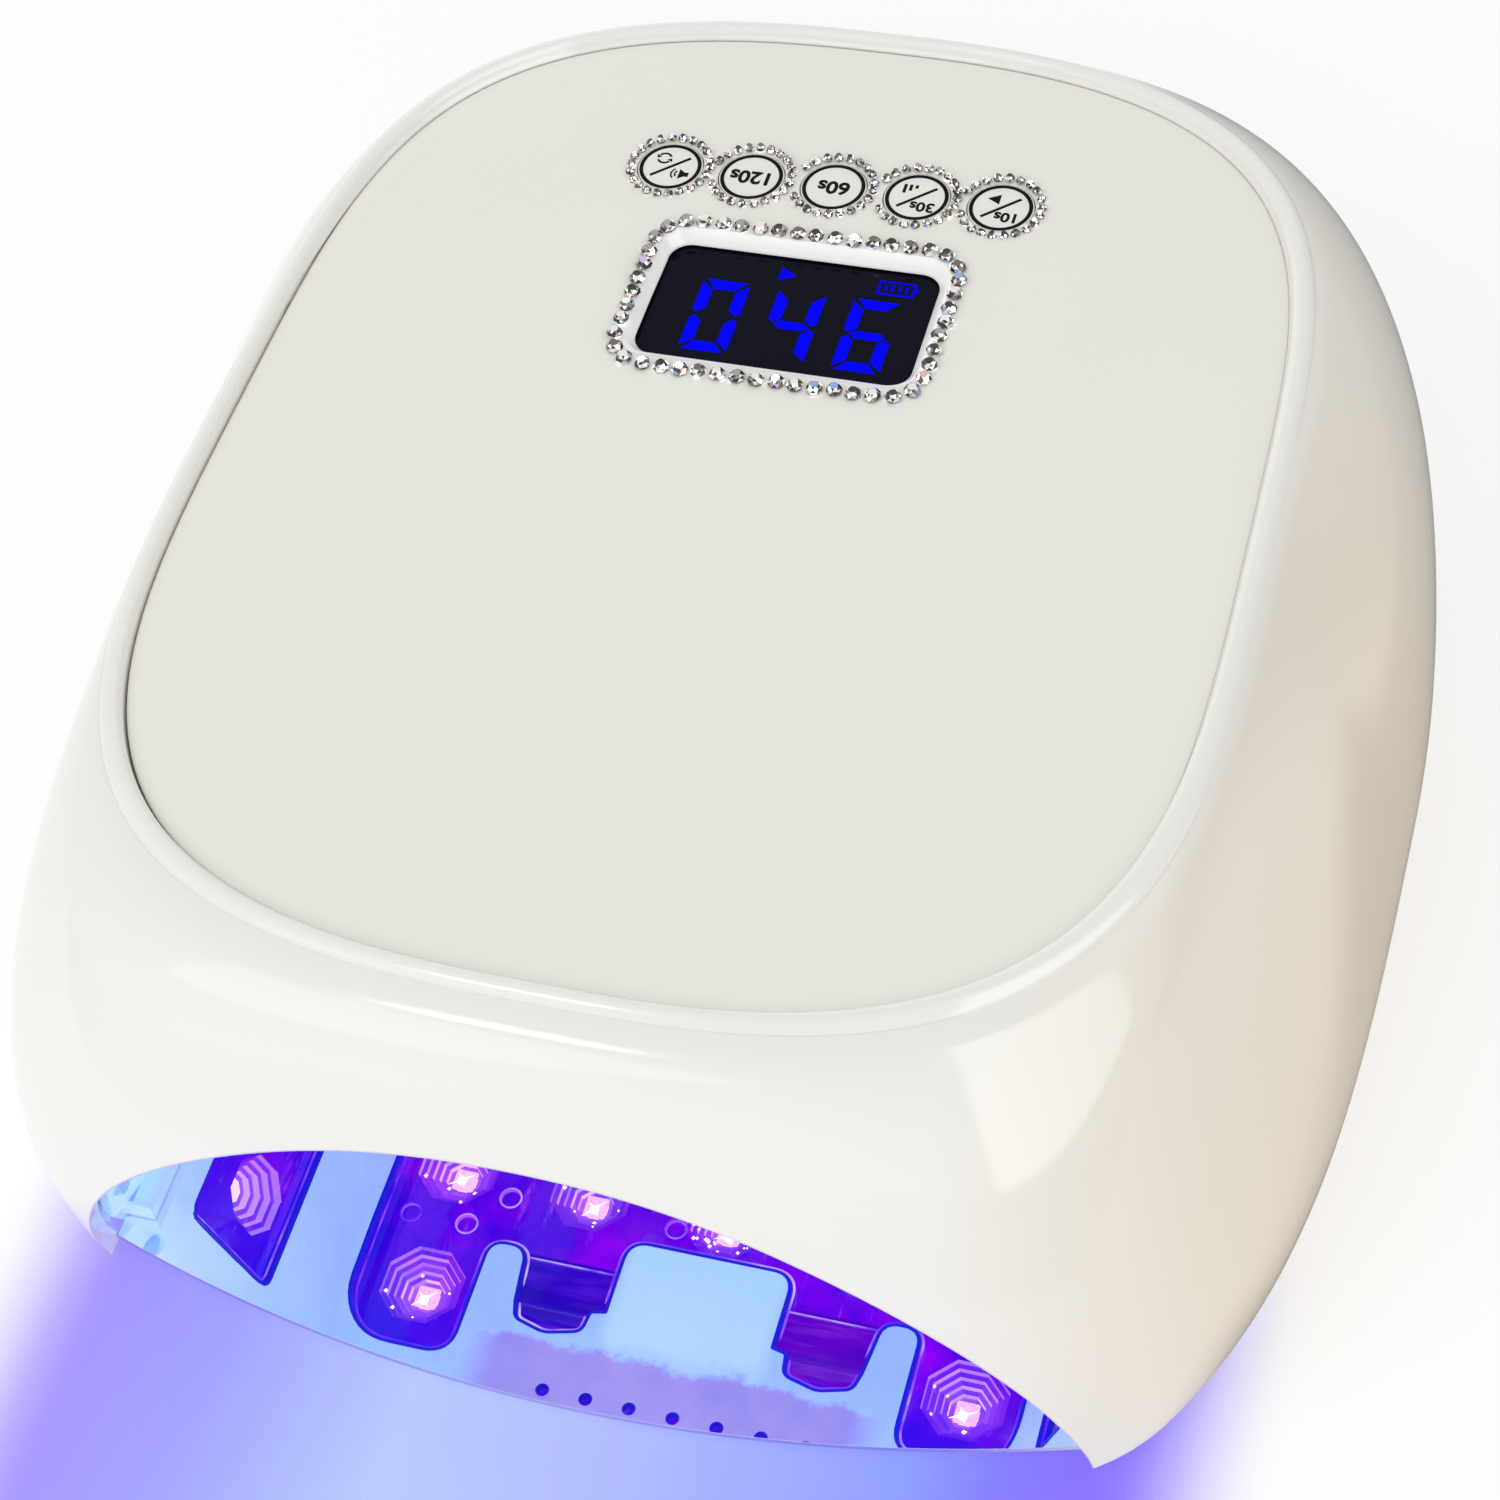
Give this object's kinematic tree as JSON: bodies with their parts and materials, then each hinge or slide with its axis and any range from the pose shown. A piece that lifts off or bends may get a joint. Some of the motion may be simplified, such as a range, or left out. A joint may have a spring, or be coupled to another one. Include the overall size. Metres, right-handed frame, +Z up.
{
  "type": "uv led nail lamp",
  "caption": "Rounded white tabletop nail lamp with an arched hand opening, lit violet inside, a slide-out mirror base plate, crystal-trimmed display and a row of round touch buttons.",
  "frame": {"origin": "on the table under the middle of the lamp's overall box, on its plane of left-right symmetry", "axes": "+Z up, -Y out of the hand opening towards the user, +X to the right seen from the hand opening"},
  "size_m": [0.206, 0.2347, 0.0827],
  "materials": {
    "housing_white": "high gloss, warm white",
    "panel_white": "high gloss, slightly greyer white",
    "smoked_window": "smoked, polished",
    "digit_module": "black with blue segments",
    "crystal": "clear, faceted",
    "button_white": "high gloss",
    "black_plastic": "satin",
    "switch_metal": "plated",
    "circuit_board": "solder mask",
    "liner_blue": "satin, washed by blue light",
    "violet_lens": "clear moulding lit violet from behind",
    "led_board_white": "white solder mask",
    "cell_wrap": "shrink wrap",
    "lead_black": "matt",
    "frame_white": "satin",
    "foot_rubber": "matt",
    "mirror_steel": "mirror polish"
  },
  "bodies": {
    "lamp": {"battery_cell_left": "cell_wrap", "battery_cell_right": "cell_wrap", "battery_cradle_left": "black_plastic", "battery_cradle_right": "black_plastic", "battery_lead_left": "lead_black", "battery_lead_right": "lead_black", "board_screw_1": "switch_metal", "board_screw_2": "switch_metal", "board_screw_3": "switch_metal", "board_screw_4": "switch_metal", "bottom_frame": "frame_white", "button_crystal_trim": "crystal", "buzzer": "black_plastic", "charge_lead": "lead_black", "charging_socket": "black_plastic", "control_board": "circuit_board", "digit_display": "digit_module", "display_crystal_trim": "crystal", "display_window": "smoked_window", "frame_screw_1": "switch_metal", "frame_screw_2": "switch_metal", "frame_screw_3": "switch_metal", "frame_screw_4": "switch_metal", "hand_sensor_left": "black_plastic", "hand_sensor_right": "black_plastic", "inner_liner": "liner_blue", "led_board": "led_board_white", "lens_plate": "violet_lens", "plate_magnet_left": "switch_metal", "plate_magnet_right": "switch_metal", "rubber_foot_1": "foot_rubber", "rubber_foot_2": "foot_rubber", "rubber_foot_3": "foot_rubber", "rubber_foot_4": "foot_rubber", "side_led_board_left": "led_board_white", "side_led_board_right": "led_board_white", "side_lens_left": "violet_lens", "side_lens_right": "violet_lens", "socket_pin": "switch_metal", "switch_bezel": "black_plastic", "switch_lead": "lead_black", "tact_switch_10s": "switch_metal", "tact_switch_120s": "switch_metal", "tact_switch_30s": "switch_metal", "tact_switch_60s": "switch_metal", "tact_switch_mode": "switch_metal", "top_housing": "housing_white", "top_panel": "panel_white"},
    "key_mode": {"button_mode": "button_white", "plunger_mode": "black_plastic"},
    "key_120s": {"button_120s": "button_white", "plunger_120s": "black_plastic"},
    "key_60s": {"button_60s": "button_white", "plunger_60s": "black_plastic"},
    "key_30s": {"button_30s": "button_white", "plunger_30s": "black_plastic"},
    "key_10s": {"button_10s": "button_white", "plunger_10s": "black_plastic"},
    "rocker": {"power_rocker": "black_plastic"},
    "plate": {"base_plate": "mirror_steel"}
  },
  "joints": [
    {"name": "key_mode_press", "type": "slide", "parent": "lamp", "child": "key_mode", "axis": [0, 0, 1], "range_m": [-0.0006, 0], "stiffness_N_per_m": 60},
    {"name": "key_120s_press", "type": "slide", "parent": "lamp", "child": "key_120s", "axis": [0, 0, 1], "range_m": [-0.0006, 0], "stiffness_N_per_m": 60},
    {"name": "key_60s_press", "type": "slide", "parent": "lamp", "child": "key_60s", "axis": [0, 0, 1], "range_m": [-0.0006, 0], "stiffness_N_per_m": 60},
    {"name": "key_30s_press", "type": "slide", "parent": "lamp", "child": "key_30s", "axis": [0, 0, 1], "range_m": [-0.0006, 0], "stiffness_N_per_m": 60},
    {"name": "key_10s_press", "type": "slide", "parent": "lamp", "child": "key_10s", "axis": [0, 0, 1], "range_m": [-0.0006, 0], "stiffness_N_per_m": 60},
    {"name": "rocker_tilt", "type": "hinge", "parent": "lamp", "child": "rocker", "pos_m": [-0.024, 0.11155, 0.02], "axis": [0, 0, 1], "range_deg": [0, 16]},
    {"name": "plate_slide", "type": "slide", "parent": "lamp", "child": "plate", "axis": [0, -1, 0], "range_m": [0, 0.12]}
  ]
}
